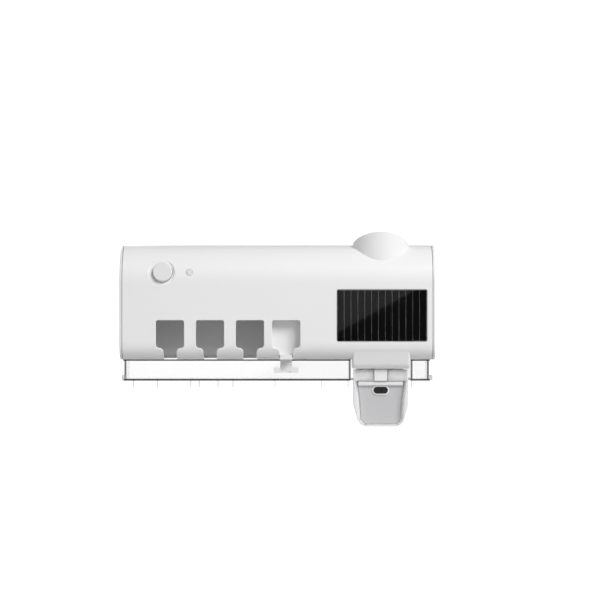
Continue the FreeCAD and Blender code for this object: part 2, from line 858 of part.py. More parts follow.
def razor_holder():
    """An insert behind the fourth slot, with a shallow pocket and a small fork below the lip."""
    body = new_body("razor_holder")
    centre = "razor_slot"
    grow(body, SIDE, f"{centre} - 12", f"{centre} + 12", inside_outline("42.5", "-11.2", "0.02"))
    pocket = rounded(f"{centre} - 10.4", "-38.3", f"{centre} + 10.4", "-12.8", "2")
    carve(body, FRONT, "47", "60", pocket)
    grow(body, FRONT, "43.6", "55.4", rectangle(f"{centre} - 4.3", "-41.6", f"{centre} + 4.3", "-38.3"))
    grow(body, FRONT, "43.6", "45.6", rounded(f"{centre} - 4.3", "-51.6", f"{centre} + 4.3", "-41", "0.8"))
    grow(body, FRONT, "43.6", "52", rounded(f"{centre} - 9", "-51.6", f"{centre} + 9", "-50", "0.7"))
    tips = [rounded(f"{centre} + {x}", "-51.6", f"{centre} + {x + 5}", "-47.6", "0.7") for x in (-9, 4)]
    grow(body, FRONT, "50.6", "52", *tips)
    carve(body, FRONT, "46.4", "60", rectangle(f"{centre} - 3.2", "-55", f"{centre} + 3.2", "-46"))
    return body


# ---------------------------------------------------------------- toothpaste dispenser


def tube_parts():
    socket_outline = outline(
        ("20.2", "31"),
        ("18.6", "31"),
        ("18.6", "21.6"),
        ("7.6", "10.6"),
        ("7.6", "-2"),
        ("1.6", "-2"),
        ("1.6", "-10"),
        ("hose_in", "-10"),
        ("hose_in", "-6"),
        ("9.4", "-6"),
        ("9.4", "9"),
        ("21.8", "19.8"),
        ("21.8", "collar_base"),
        ("20.2", "collar_base"),
    )
    turned("tube_socket", socket_outline, "dispenser_x", "0", "collar_deep")
    seal_outline = outline(
        ("7.6", "-2"),
        ("7.6", "10.4"),
        ("seal_bore + 0.8", "10.4"),
        ("seal_bore", "9.6"),
        ("seal_bore", "1"),
        ("2", "0.2"),
        ("2", "-2"),
    )
    turned("tube_seal", seal_outline, "dispenser_x", "0", "collar_deep")


def feed_hose():
    """A silicone hose from the socket's spigot to the pump's, pushed over both."""
    across = value("dispenser_x")
    start, end = value("collar_deep"), value("pump_deep")
    route = [(start, -6.2), (start, -14), (end, -24), (end, -37.8)]
    points = [FreeCAD.Vector(across, -deep, up) for deep, up in route]
    hose = doc.addObject("Part::Feature", "feed_hose")
    hose.Shape = swept(points, value("hose_out"), 0.48).cut(swept(points, value("hose_in"), 0.48))
    return keep(hose, "feed_hose")


def pump_body():
    """The fixed half of the pump: it hangs below the housing, with ears for the lever's pin."""
    body = new_body("pump_body")
    across = "dispenser_x"
    grow(body, FRONT, "11.5", "24", rounded(f"{across} - 17", "-80", f"{across} + 17", "-38", "4"))
    grow(body, FRONT, "9", "12.5", rounded(f"{across} - 15", "-39.8", f"{across} + 15", "-26", "1.5"))
    hinge, level = "-hinge_deep", "hinge_up"
    ear = outline(
        ("-23", f"{level} + 4.5"),
        (hinge, f"{level} + 3.6"),
        (f"{hinge} - 3.6", level, "3.6", 1),
        (hinge, f"{level} - 3.6", "3.6", 1),
        ("-23", f"{level} - 4.5"),
    )
    grow(body, SIDE, f"{across} - 16.5", f"{across} - 14", ear)
    grow(body, SIDE, f"{across} + 14", f"{across} + 16.5", ear)
    grow(body, PLAN, "-38.5", "-31", circle(across, "-pump_deep", "hose_in"))
    carve(body, SIDE, f"{across} - 20", f"{across} + 20", circle(hinge, level, "pin_radius"))
    carve(body, PLAN, "outlet_up", "-20", circle(across, "-pump_deep", "1.6"))
    carve(body, FRONT, "pump_deep - 1.6", "25", circle(across, "outlet_up", "2.4"))
    carve(body, FRONT, "22.5", "25", circle(across, "outlet_up", "8"))
    carve(body, FRONT, "0", "30", *[circle(f"{across} + {x}", "-31", "1.3") for x in (-10, 10)])
    return body


def inlet_valve():
    """A silicone flap disc that lets paste into the pump and stops it from flowing back."""
    body = new_body("inlet_valve")
    grow(body, FRONT, "22.5", "23.9", circle("dispenser_x", "outlet_up", "8"))
    slit = outline(
        ("dispenser_x - 2.6", "outlet_up - 2"),
        ("dispenser_x + 2.6", "outlet_up - 2"),
        ("dispenser_x + 2.6", "outlet_up - 1.6"),
        ("dispenser_x - 2.6", "outlet_up - 1.6"),
    )
    carve(body, FRONT, "22", "25", slit)
    return body


def pump_bellows():
    """A silicone bellows between the pump body and the lever, in four folds."""
    length = "(lever_rear + 2.4 - 24)"
    fold = f"({length} / 4)"
    steps = [("10", "0"), ("12", "0")]
    for index in range(4):
        steps.append(("12", f"({index} + 0.3) * {fold}"))
        steps.append(("9.4", f"({index} + 0.6) * {fold}"))
        steps.append(("9.4", f"({index} + 0.8) * {fold}"))
    steps += [("12", length), ("3", length), ("3", f"{length} - 1"), ("8.4", f"{length} - 1")]
    steps += [("8.4", "1"), ("10", "0.9")]
    body = turned("pump_bellows", outline(*steps), "dispenser_x", "outlet_up", "24", along_y=True)
    return body


def lever_outer():
    """The lever's front outline: straight sides that draw in towards a rounded foot."""
    left, right = "dispenser_x - lever_half", "dispenser_x + lever_half"
    return outline(
        (left, "lever_top"),
        (left, "-75"),
        (f"{left} + 2.9", "lever_foot + 5.5"),
        (f"{left} + 10.12", "lever_foot", "7.49", 1),
        (f"{right} - 10.12", "lever_foot"),
        (f"{right} - 2.9", "lever_foot + 5.5", "7.49", 1),
        (right, "-75"),
        (right, "lever_top"),
    )


def dish_outline(top, mid, low, foot, corner):
    """The dish in the lever's front, given by its half widths at three heights."""
    return outline(
        (f"dispenser_x - {top}", "-57.8"),
        (f"dispenser_x - {mid}", "-72"),
        (f"dispenser_x - {low}", f"{foot} + {corner}"),
        (f"dispenser_x - {low} + {corner}", foot),
        (f"dispenser_x + {low} - {corner}", foot),
        (f"dispenser_x + {low}", f"{foot} + {corner}"),
        (f"dispenser_x + {mid}", "-72"),
        (f"dispenser_x + {top}", "-57.8"),
    )


def push_lever():
    body = new_body("push_lever")
    across = "dispenser_x"
    grow(body, FRONT, "lever_rear", "lever_front", lever_outer())
    soften(body, "PartDesign::Fillet", 1.0, is_lever_rim)
    hinge, level = "-hinge_deep", "hinge_up"
    knuckle = outline(
        (f"{hinge} - barrel", level),
        (f"{hinge} - barrel", "-52"),
        (f"{hinge} + barrel", "-52"),
        (f"{hinge} + barrel", level),
        (hinge, f"{level} + barrel", "barrel", 1),
        (f"{hinge} - barrel", level, "barrel", 1),
    )
    for left, right in ((-13.5, -9.5), (9.5, 13.5)):
        grow(body, SIDE, f"{across} + {left}", f"{across} + {right}", knuckle)
    shelf = rectangle(f"{across} - 18.7", "-58", f"{across} + 18.7", "lever_top + 2")
    carve(body, FRONT, "44.2", "50", shelf)
    floor = dish_outline("17.2", "15.2", "14.2", "-89.2", "3")
    brim = dish_outline("18.9", "17.2", "16.1", "-90", "3.6")
    carve_loft(body, FRONT, "40", floor, "lever_front + 0.2", brim)
    carve(body, FRONT, "39.5", "50", rectangle(f"{across} - 5.1", "-58", f"{across} + 5.1", "-40"))
    carve(body, FRONT, "36.5", "41", rectangle(f"{across} - 5.1", "-52.2", f"{across} + 5.1", "-40"))
    rear_left, rear_right = f"{across} - 13.6", f"{across} + 13.6"
    carve(body, FRONT, "lever_rear - 1", "38.4", rounded(rear_left, "-87", rear_right, "-51.4", "3"))
    bore = circle(hinge, level, "pin_radius + pin_fit")
    carve(body, SIDE, f"{across} - 20", f"{across} + 20", bore)
    nozzle = stadium(across, "outlet_up", "(outlet_wide + 1.6)", "(outlet_tall + 1.6)")
    carve(body, FRONT, "38", "41", nozzle)
    return body


def is_lever_rim(place):
    """True on the lever's front or rear outline, away from its top edge."""
    on_face = min(abs(place.y + value("lever_front")), abs(place.y + value("lever_rear"))) < 1e-3
    return on_face and (place.z < value("lever_top") - 0.1 or abs(place.x - value("dispenser_x")) > 20)


def lever_face():
    """The grey plate on the floor of the lever's dish, with a ledge across its top."""
    body = new_body("lever_face")
    grow(body, FRONT, "40", "41.4", dish_outline("17.1", "15.1", "14.1", "-89.1", "3"))
    ledge = outline(("-41", "-62"), ("-43.6", "-60.6"), ("-43.6", "-58"), ("-41", "-58"))
    grow(body, SIDE, "dispenser_x - 16.4", "dispenser_x + 16.4", ledge)
    nozzle = stadium("dispenser_x", "outlet_up", "(outlet_wide + 1.6)", "(outlet_tall + 1.6)")
    carve(body, FRONT, "39", "45", nozzle)
    return body


def lever_arm():
    """The white tab that carries the lever's middle hinge barrel."""
    body = new_body("lever_arm")
    hinge, level = "-hinge_deep", "hinge_up"
    arm = outline(
        (f"{hinge} - barrel + 0.4", level),
        (f"{hinge} - barrel + 0.4", "lever_top + 0.1"),
        ("-45", "lever_top + 0.1"),
        ("-45", "-57.6"),
        (hinge, "-57.6"),
        (hinge, "-52"),
        (f"{hinge} + barrel - 0.4", "-50"),
        (f"{hinge} + barrel - 0.4", level),
        (hinge, f"{level} + barrel - 0.4", "barrel - 0.4", 1),
        (f"{hinge} - barrel + 0.4", level, "barrel - 0.4", 1),
    )
    grow(body, SIDE, "dispenser_x - 4.75", "dispenser_x + 4.75", arm)
    bore = circle(hinge, level, "pin_radius + pin_fit")
    carve(body, SIDE, "dispenser_x - 6", "dispenser_x + 6", bore)
    return body


def outlet_parts():
    nozzle = new_body("outlet_nozzle")
    outer = stadium("dispenser_x", "outlet_up", "(outlet_wide + 1.6)", "(outlet_tall + 1.6)")
    inner = stadium("dispenser_x", "outlet_up", "outlet_wide", "outlet_tall")
    grow(nozzle, FRONT, "38.4", "42", outer)
    carve(nozzle, FRONT, "40.2", "43", inner)
    carve(nozzle, FRONT, "38", "41", circle("dispenser_x", "outlet_up", "1.8"))
    valve = new_body("outlet_valve")
    grow(valve, FRONT, "40.2", "41.2", inner)
    slit = rectangle("dispenser_x - 2.5", "outlet_up - 0.15", "dispenser_x + 2.5", "outlet_up + 0.15")
    carve(valve, FRONT, "40", "42", slit)


def hinge_parts():
    pin = rod("x", "dispenser_x - 16.9", "hinge_deep", "hinge_up", "pin_radius", "33.8")
    keep(pin, "lever_hinge_pin")
    across = value("dispenser_x") + 5.6
    wire, coil, turns = 0.35, 2.6, 3
    spiral = Part.makeHelix(0.9, 0.9 * turns, coil)
    profile = Part.Wire([Part.Circle(FreeCAD.Vector(coil, 0, 0), FreeCAD.Vector(0, 1, 0), wire).toShape()])
    coiled = Part.Wire(spiral).makePipeShell([profile], True, True)
    spring = doc.addObject("Part::Feature", "lever_return_spring")
    spring.Shape = coiled
    spring.Placement = FreeCAD.Placement(
        FreeCAD.Vector(across, -value("hinge_deep"), value("hinge_up")),
        FreeCAD.Rotation(FreeCAD.Vector(0, 1, 0), 90),
    )
    keep(spring, "lever_return_spring")


# ---------------------------------------------------------------- drip tray

RIB_SPOTS = (-106.1, -88.4, -64.0, -57.8, -43.9, -32.9, -2.0, 32.1, 51.8, 98.4)


def drip_tray():
    body = new_body("drip_tray")
    notch_left, notch_right = "dispenser_x - tray_notch", "dispenser_x + tray_notch"
    rear = "-tray_rear"
    outer = outline(
        ("tray_left", rear),
        ("tray_left", "-tray_front"),
        (notch_left, "-tray_front"),
        (notch_left, "-tray_rear - tray_wall"),
        (notch_right, "-tray_rear - tray_wall"),
        (notch_right, "-tray_front"),
        ("tray_right", "-tray_front"),
        ("tray_right", rear),
    )
    grow(body, PLAN, "tray_floor", "tray_top", outer)
    low, high = "tray_floor + tray_wall", "tray_top + 1"
    near, far = "-tray_rear - tray_wall", "-tray_front + tray_wall"
    left_room = rectangle("tray_left + tray_wall", far, f"{notch_left} - tray_wall", near)
    right_room = rectangle(f"{notch_right} + tray_wall", far, "tray_right - tray_wall", near)
    carve(body, PLAN, low, high, left_room, right_room)
    steps = [
        rectangle("dispenser_x + 18.8", "-29.5", notch_right, near),
        rectangle(notch_left, "-29.5", "dispenser_x - 18.8", near),
    ]
    grow(body, PLAN, "tray_floor", low, *steps)
    ribs = [rectangle(f"{x} - 0.4", "-tray_front", f"{x} + 0.4", "-tray_front + 6") for x in RIB_SPOTS]
    grow(body, PLAN, "tray_floor - 4.8", "tray_floor", *ribs)
    tabs = [rectangle("tray_right", "-34", "114", "-24"), rectangle("-115", "-34", "tray_left", "-24")]
    grow(body, PLAN, "tray_floor", "tray_floor + 3.6", *tabs)
    clips = [
        rectangle("tray_left", "-30", "tray_left + tray_wall", "-20"),
        rectangle("tray_right - tray_wall", "-30", "tray_right", "-20"),
    ]
    grow(body, PLAN, "tray_top", "-35", *clips)
    return body


# ---------------------------------------------------------------- wall bracket


def wall_bracket():
    body = new_body("wall_bracket")
    grow(body, FRONT, "pad_thick", "plate_front", rounded("-76", "-24", "76", "24", "6"))
    lip_rear = "cover_front + 0.5"
    for side in (-1, 1):
        left, right = f"{side} * hook_x - hook_half", f"{side} * hook_x + hook_half"
        stem = rectangle(left, "hook_top - hook_thick", right, "hook_top")
        grow(body, FRONT, "plate_front", f"{lip_rear} + 1.7", stem)
        lip = rectangle(left, "hook_top", right, "hook_top + hook_lip")
        grow(body, FRONT, lip_rear, f"{lip_rear} + 1.7", lip)
    holes = [circle(f"{side} * screw_hole_x", "0", "screw_hole") for side in (-1, 1)]
    carve(body, FRONT, "0", "5", *holes)
    soften(body, "PartDesign::Fillet", 0.6, is_plate_rim)
    return body


def is_plate_rim(place):
    """True on the border of the bracket's plate, front and rear."""
    on_face = min(abs(place.y + value("pad_thick")), abs(place.y + value("plate_front"))) < 1e-3
    return on_face and (abs(place.x) > 69.9 or abs(place.z) > 23.9)


def small_fixings():
    pads = []
    for left, right in (("-58", "-30"), ("-24", "24"), ("30", "58")):
        pads.append(box(left, right, "0", "pad_thick", "-20", "20"))
    group("adhesive_pads", pads)
    bumpers = [rod("out", f"{side} * 95", "0.4", "-33", "5", "cover_rear - 0.4") for side in (-1, 1)]
    group("rear_bumpers", bumpers)
    screws("cover_screws", BOSS_SPOTS, "cover_rear", "2.4", "1.6", "1.3", "18", inward=True)
    screws("board_screws", BOARD_SPOTS, "board_rear + board_thick", "1.8", "1.2", "0.9", "3.4")
    pump_spots = [(f"dispenser_x + {x}", "-31") for x in (-10, 10)]
    screws("pump_screws", pump_spots, "12.5", "2.4", "1.6", "1.1", "5")


def internal_leads():
    """Insulated wires inside the housing, each along its own real route: x, depth and height."""
    lead_pair("uv_leads_pair", [(-84, 30, -3.6), (-84, 30, 16), (-84, 11.2, 16)], (1.4, 0, 0))
    battery_route = [(-30.6, 26, 27), (-38, 26, 27), (-48, 21, 22), (-48, 11.2, 22)]
    lead_pair("battery_leads", battery_route, (0, 0, 1.4))
    solar_route = [
        (48, 52.2, 2),
        (47, 42, 3),
        (28, 37, 5),
        (0, 36, 3.5),
        (-26, 34, 4.5),
        (-46, 27, 10),
        (-56, 18, 18),
        (-56, 11.2, 18),
    ]
    lead_pair("solar_leads", solar_route, (0, 0, 1.4))
    switch_route = [(-74, 38.3, 14), (-75, 30, 13.8), (-76, 20, 19), (-76, 11.2, 19)]
    lead_pair("switch_leads", switch_route, (1.4, 0, 0))


# ---------------------------------------------------------------- build, check and write


def build():
    front_cover()
    end_cap("left_end_cap", -1)
    end_cap("right_end_cap", 1)
    back_cover()
    power_button()
    switch_plunger()
    tact_switch()
    switch_board()
    indicator_lens()
    indicator_led()
    main_board()
    board_components()
    usb_port()
    battery()
    solar_parts()
    chamber_liner()
    lamp_parts()
    razor_holder()
    tube_parts()
    feed_hose()
    pump_body()
    inlet_valve()
    pump_bellows()
    push_lever()
    lever_face()
    lever_arm()
    outlet_parts()
    hinge_parts()
    drip_tray()
    wall_bracket()
    small_fixings()
    internal_leads()
    doc.recompute()


def check():
    failed = [item.Name for item in doc.Objects if {"Invalid", "Error"} & set(item.State)]
    if failed:
        raise SystemExit(f"features failed: {failed}")
    for node in nodes:
        if node.Shape.isNull() or not node.Shape.isValid():
            raise SystemExit(f"{node.Label} has no valid shape")
        solids = len(node.Shape.Solids)
        print(f"{node.Label}: {solids} solid(s), {node.Shape.Volume / 1000:.2f} cm3")


build()
check()
os.makedirs("parts", exist_ok=True)
for node in nodes:
    node.Shape.exportStep(f"parts/{node.Label}.step")
print(len(nodes), "nodes written")
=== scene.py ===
import bmesh
import bpy
import json
import math
from mathutils import Matrix, Vector


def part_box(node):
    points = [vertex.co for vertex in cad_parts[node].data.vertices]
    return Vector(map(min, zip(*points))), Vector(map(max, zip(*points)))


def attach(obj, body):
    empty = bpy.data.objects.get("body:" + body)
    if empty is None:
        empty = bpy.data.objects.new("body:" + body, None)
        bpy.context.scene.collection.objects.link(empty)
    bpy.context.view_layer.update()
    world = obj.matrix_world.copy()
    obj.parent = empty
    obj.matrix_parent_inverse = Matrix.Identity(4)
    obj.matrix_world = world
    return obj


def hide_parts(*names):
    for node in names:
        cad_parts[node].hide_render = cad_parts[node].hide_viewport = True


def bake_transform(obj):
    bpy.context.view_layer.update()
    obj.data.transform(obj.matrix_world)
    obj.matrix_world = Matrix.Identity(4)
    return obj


# Looks of a wall-mounted toothbrush sanitizer with a toothpaste dispenser. Lengths are in metres,
# in the CAD frame: X to the right, +Y into the wall, +Z up, the wall is the plane y = 0.
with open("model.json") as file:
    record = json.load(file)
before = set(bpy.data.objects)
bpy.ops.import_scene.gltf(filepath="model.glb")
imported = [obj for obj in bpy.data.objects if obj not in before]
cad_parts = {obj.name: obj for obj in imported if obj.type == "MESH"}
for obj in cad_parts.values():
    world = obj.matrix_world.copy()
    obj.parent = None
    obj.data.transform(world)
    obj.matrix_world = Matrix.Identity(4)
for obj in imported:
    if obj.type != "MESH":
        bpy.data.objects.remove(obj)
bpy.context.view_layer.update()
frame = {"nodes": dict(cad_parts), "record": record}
MM = 0.001
nodes = frame["nodes"]
SLOTS = {entry["node"]: entry["material_slot"] for entry in frame["record"]["subparts"]}

# ---------------------------------------------------------------- camera, light and stage

FRONT_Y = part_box("front_cover")[0].y
EYE_DISTANCE = 1.680
EYE = Vector((16.4 * MM, FRONT_Y - EYE_DISTANCE, 1.6 * MM))
VIEW_SPAN = 0.4364
SENSOR_WIDTH_MM = 36.0
FLOOR_LEVEL = -0.75
FLOOR_RADIUS = 2.2


def link_in(thing):
    bpy.context.scene.collection.objects.link(thing)
    return thing


def add_camera():
    """Level and square to the front; VIEW_SPAN is the width seen at the housing's front."""
    data = bpy.data.cameras.new("camera")
    data.sensor_width = SENSOR_WIDTH_MM
    data.lens = SENSOR_WIDTH_MM * EYE_DISTANCE / VIEW_SPAN
    data.clip_end = 50
    camera = link_in(bpy.data.objects.new("camera", data))
    camera.location = EYE
    camera.rotation_euler = (math.pi / 2, 0, 0)
    bpy.context.scene.camera = camera


def add_softbox(name, size, radiance, pose):
    """A rectangular area light of an even brightness; it shines along its own -Z."""
    data = bpy.data.lights.new(name, "AREA")
    data.shape = "RECTANGLE"
    data.size, data.size_y = size
    data.energy = radiance * math.pi * size[0] * size[1]
    lamp = link_in(bpy.data.objects.new(name, data))
    lamp.matrix_world = pose
    lamp.visible_camera = False
    return lamp


def add_aimed_softbox(name, size, radiance, azimuth, elevation, away):
    """A softbox that faces the origin; its azimuth runs from the camera's side (-Y) towards +X."""
    turned, up = math.radians(azimuth), math.radians(elevation)
    toward = Vector((math.cos(up) * math.sin(turned), -math.cos(up) * math.cos(turned), math.sin(up)))
    turn = toward.to_track_quat("Z", "Y").to_matrix().to_4x4()
    return add_softbox(name, size, radiance, Matrix.Translation(toward * away) @ turn)


def add_key():
    """The main light: a large softbox above and to the right of the camera."""
    add_aimed_softbox("key", (1.5, 1.1), radiance=10.4, azimuth=36, elevation=36, away=2.6)


def add_back_light():
    """A broad soft light on the wall's side: it shapes the back, and isn't seen through clear plastic."""
    lamp = add_aimed_softbox("back_light", (1.8, 1.2), radiance=3.2, azimuth=208, elevation=12, away=2.4)
    lamp.visible_transmission = False


def add_panel_reflection():
    """A dim softbox behind the camera, whose slanted edge is mirrored across the solar window."""
    edge_starts, edge_ends = (0.0, 0.165), (0.88, 1.0)  # shares of the window's width and height
    wide, tall, far_y = 1.6, 0.7, -3.0
    low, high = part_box("solar_window")
    mirrored_eye = Vector((EYE.x, 2 * low.y - EYE.y, EYE.z))
    edge = []
    for across, above in (edge_starts, edge_ends):
        spot = Vector((low.x + across * (high.x - low.x), low.y, low.z + above * (high.z - low.z)))
        ray = spot - mirrored_eye
        edge.append(mirrored_eye + ray * ((far_y - mirrored_eye.y) / ray.y))
    along = (edge[1] - edge[0]).normalized()
    slope = math.atan2(along.z, along.x)
    middle = (edge[0] + edge[1]) / 2 + Vector((-along.z, 0, along.x)) * tall / 2
    turn = Matrix.Rotation(-slope, 4, "Y") @ Matrix.Rotation(math.pi / 2, 4, "X")
    add_softbox("panel_reflection", (wide, tall), radiance=0.42, pose=Matrix.Translation(middle) @ turn)


def remap(tree, source, span, result, smooth=False):
    """A number carried from one span to another and held at the ends."""
    change = tree.nodes.new("ShaderNodeMapRange")
    if smooth:
        change.interpolation_type = "SMOOTHSTEP"
    for name, number in zip(("From Min", "From Max", "To Min", "To Max"), (*span, *result)):
        change.inputs[name].default_value = number
    tree.links.new(source, change.inputs["Value"])
    return change.outputs["Result"]


def add_world():
    """White where seen directly or through clear plastic; as a light it dims above and behind the camera."""
    seen_strength = 1.15
    world = bpy.data.worlds.new("studio")
    bpy.context.scene.world = world
    world.use_nodes = True
    tree = world.node_tree
    tree.nodes.clear()
    add, link = tree.nodes.new, tree.links.new
    place = add("ShaderNodeTexCoord")
    split = add("ShaderNodeSeparateXYZ")
    link(place.outputs["Generated"], split.inputs[0])
    dim_behind_eye = remap(tree, split.outputs["Y"], (-0.995, -0.90), (0.2, 1.0), smooth=True)
    dim_above = remap(tree, split.outputs["Z"], (-0.2, 1.0), (0.63, 0.33))
    strength = add("ShaderNodeMath")
    strength.operation = "MULTIPLY"
    link(dim_behind_eye, strength.inputs[0])
    link(dim_above, strength.inputs[1])
    room = add("ShaderNodeBackground")
    link(strength.outputs[0], room.inputs["Strength"])
    seen = add("ShaderNodeBackground")
    seen.inputs["Color"].default_value = (1, 1, 1, 1)
    seen.inputs["Strength"].default_value = seen_strength
    rays = add("ShaderNodeLightPath")
    direct = add("ShaderNodeMath")
    direct.operation = "MAXIMUM"
    link(rays.outputs["Is Camera Ray"], direct.inputs[0])
    link(rays.outputs["Is Transmission Ray"], direct.inputs[1])
    mix = add("ShaderNodeMixShader")
    link(direct.outputs[0], mix.inputs[0])
    link(room.outputs[0], mix.inputs[1])
    link(seen.outputs[0], mix.inputs[2])
    link(mix.outputs[0], add("ShaderNodeOutputWorld").inputs["Surface"])


def add_floor():
    """A pale round floor well below the hanging object, which fades out towards its rim."""
    grey, fade_starts, fade_ends = 0.72, 0.8, 2.15
    mesh = bpy.data.meshes.new("floor")
    shape = bmesh.new()
    bmesh.ops.create_circle(shape, cap_ends=True, radius=FLOOR_RADIUS, segments=96)
    shape.to_mesh(mesh)
    shape.free()
    floor = link_in(bpy.data.objects.new("floor", mesh))
    floor.location = (0, 0, FLOOR_LEVEL)
    tree, surface = new_material("floor")
    surface.inputs["Base Color"].default_value = (grey, grey, grey, 1)
    surface.inputs["Roughness"].default_value = 0.7
    place = tree.nodes.new("ShaderNodeTexCoord")
    reach = tree.nodes.new("ShaderNodeVectorMath")
    reach.operation = "LENGTH"
    tree.links.new(place.outputs["Object"], reach.inputs[0])
    fade = remap(tree, reach.outputs["Value"], (fade_starts, fade_ends), (1.0, 0.0), smooth=True)
    tree.links.new(fade, surface.inputs["Alpha"])
    mesh.materials.append(materials["floor"])


# ---------------------------------------------------------------- materials

materials = {}
NOISE_MIDDLE = (0.35, 0.65)  # where a noise turns from the dark tone to the light one
NOISE_SPAN = (0.3, 0.7)  # the values that a noise mostly takes
PAINTED_HIGHLIGHT_Y = -42.0 * MM  # the lever's face plate is painted paler in front of this, a painted highlight where its ledge catches light from above
WHITE = (0.86, 0.86, 0.865)


def new_material(name):
    """The node tree and the shader of a new material, which materials keeps under its name."""
    material = bpy.data.materials.new(name)
    material.use_nodes = True
    materials[name] = material
    tree = material.node_tree
    return tree, tree.nodes["Principled BSDF"]


def noise(tree, scale, detail=3.0, stretch=None):
    """A noise whose scale counts features per metre, in the object's own frame."""
    place = tree.nodes.new("ShaderNodeTexCoord")
    texture = tree.nodes.new("ShaderNodeTexNoise")
    texture.inputs["Scale"].default_value = scale
    texture.inputs["Detail"].default_value = detail
    if stretch is None:
        tree.links.new(place.outputs["Object"], texture.inputs["Vector"])
    else:
        squeeze = tree.nodes.new("ShaderNodeMapping")
        squeeze.inputs["Scale"].default_value = stretch
        tree.links.new(place.outputs["Object"], squeeze.inputs["Vector"])
        tree.links.new(squeeze.outputs["Vector"], texture.inputs["Vector"])
    return texture.outputs["Fac"]


def tone(tree, source, dark, light):
    """A colour ramp over the middle of a noise."""
    ramp = tree.nodes.new("ShaderNodeValToRGB")
    for stop, position, colour in zip(ramp.color_ramp.elements, NOISE_MIDDLE, (dark, light)):
        stop.position = position
        stop.color = (*colour, 1)
    tree.links.new(source, ramp.inputs["Fac"])
    return ramp.outputs["Color"]


def spread(tree, source, low, high):
    """A noise turned into a number between two limits."""
    return remap(tree, source, NOISE_SPAN, (low, high))


def relief(tree, surface, source, depth, strength):
    """A bump that rises with a noise, at most by its depth."""
    bump = tree.nodes.new("ShaderNodeBump")
    bump.inputs["Distance"].default_value = depth
    bump.inputs["Strength"].default_value = strength
    tree.links.new(source, bump.inputs["Height"])
    tree.links.new(bump.outputs["Normal"], surface.inputs["Normal"])


def shade(colour, share):
    """The colour made darker, or lighter with a share above 1."""
    return tuple(channel * share for channel in colour)


def moulded(name, colour, roughness, grain=900, depth=0.00002, fine=4, patchy=0.03, glow=0.0):
    """Injection-moulded plastic: a faint tone drift, a fine skin and a slightly uneven gloss."""
    tree, surface = new_material(name)
    drift = noise(tree, scale=14, detail=1)
    tree.links.new(tone(tree, drift, shade(colour, 1 - patchy), colour), surface.inputs["Base Color"])
    polish = noise(tree, scale=45, detail=1)
    tree.links.new(spread(tree, polish, roughness * 0.92, roughness * 1.08), surface.inputs["Roughness"])
    relief(tree, surface, noise(tree, grain, fine), depth, strength=0.5)
    surface.inputs["IOR"].default_value = 1.5
    if glow:
        surface.inputs["Subsurface Weight"].default_value = glow
        surface.inputs["Subsurface Radius"].default_value = (1.0, 1.0, 1.0)
        surface.inputs["Subsurface Scale"].default_value = 0.002
    return tree, surface


def clear(name, colour, roughness, absorb=0.0, ior=1.49, grain=500, depth=0.000004):
    """Clear or frosted plastic; absorb darkens long ways through it, per metre."""
    tree, surface = new_material(name)
    surface.inputs["Base Color"].default_value = (*colour, 1)
    surface.inputs["Transmission Weight"].default_value = 1.0
    surface.inputs["IOR"].default_value = ior
    polish = noise(tree, scale=220, detail=3)
    tree.links.new(spread(tree, polish, roughness * 0.7, roughness * 1.3), surface.inputs["Roughness"])
    if depth:
        relief(tree, surface, noise(tree, grain, detail=2), depth, strength=0.6)
    if absorb:
        murk = tree.nodes.new("ShaderNodeVolumeAbsorption")
        murk.inputs["Color"].default_value = (0.02, 0.02, 0.02, 1)
        murk.inputs["Density"].default_value = absorb
        tree.links.new(murk.outputs[0], tree.nodes["Material Output"].inputs["Volume"])


def milky(name, colour, roughness, clearness, deep=0.002):
    """Translucent plastic: part light-scattering, part see-through."""
    surface = moulded(name, colour, roughness, grain=500, depth=0.000006, patchy=0.01, glow=1.0)[1]
    surface.inputs["Subsurface Scale"].default_value = deep
    surface.inputs["Transmission Weight"].default_value = clearness


def moulded_with_painted_highlight(name, colour, painted_highlight_colour, level):
    """Moulded plastic in its own colour, painted paler on what stands in front of a depth: a painted
    highlight where the lever's ledge catches light from above.
    """
    tree, surface = moulded(name, colour, roughness=0.45, grain=1500)
    base = surface.inputs["Base Color"].links[0].from_socket
    place = tree.nodes.new("ShaderNodeTexCoord")
    split = tree.nodes.new("ShaderNodeSeparateXYZ")
    tree.links.new(place.outputs["Object"], split.inputs[0])
    # painted highlight: paler in front of the depth
    painted_highlight_share = remap(tree, split.outputs["Y"], (level, level + 0.2 * MM), (1.0, 0.0))
    mix = tree.nodes.new("ShaderNodeMix")
    mix.data_type = "RGBA"
    mix.inputs["B"].default_value = (*painted_highlight_colour, 1)
    tree.links.new(painted_highlight_share, mix.inputs["Factor"])
    tree.links.new(base, mix.inputs["A"])
    tree.links.new(mix.outputs["Result"], surface.inputs["Base Color"])


def metal(name, colour, roughness, along=(1, 1, 1), grain=2600):
    """Drawn or rolled metal with fine lines."""
    tree, surface = new_material(name)
    surface.inputs["Metallic"].default_value = 1.0
    drift = noise(tree, scale=120, detail=3)
    tree.links.new(tone(tree, drift, shade(colour, 0.86), colour), surface.inputs["Base Color"])
    lines = noise(tree, grain, detail=3, stretch=along)
    tree.links.new(spread(tree, lines, roughness * 0.7, roughness * 1.35), surface.inputs["Roughness"])
    relief(tree, surface, lines, depth=0.000004, strength=0.6)


def rubber(name, colour, roughness=0.6, glow=0.0):
    """Soft moulded rubber or silicone: matte, with a dusty bloom."""
    tree, surface = new_material(name)
    bloom = noise(tree, scale=90, detail=5)
    tree.links.new(tone(tree, bloom, shade(colour, 0.88), colour), surface.inputs["Base Color"])
    tree.links.new(spread(tree, bloom, roughness * 0.9, roughness * 1.1), surface.inputs["Roughness"])
    relief(tree, surface, noise(tree, scale=1800, detail=3), depth=0.00002, strength=0.5)
    surface.inputs["Sheen Weight"].default_value = 0.15
    surface.inputs["Specular IOR Level"].default_value = 0.4
    if glow:
        surface.inputs["Subsurface Weight"].default_value = glow
        surface.inputs["Subsurface Scale"].default_value = 0.003


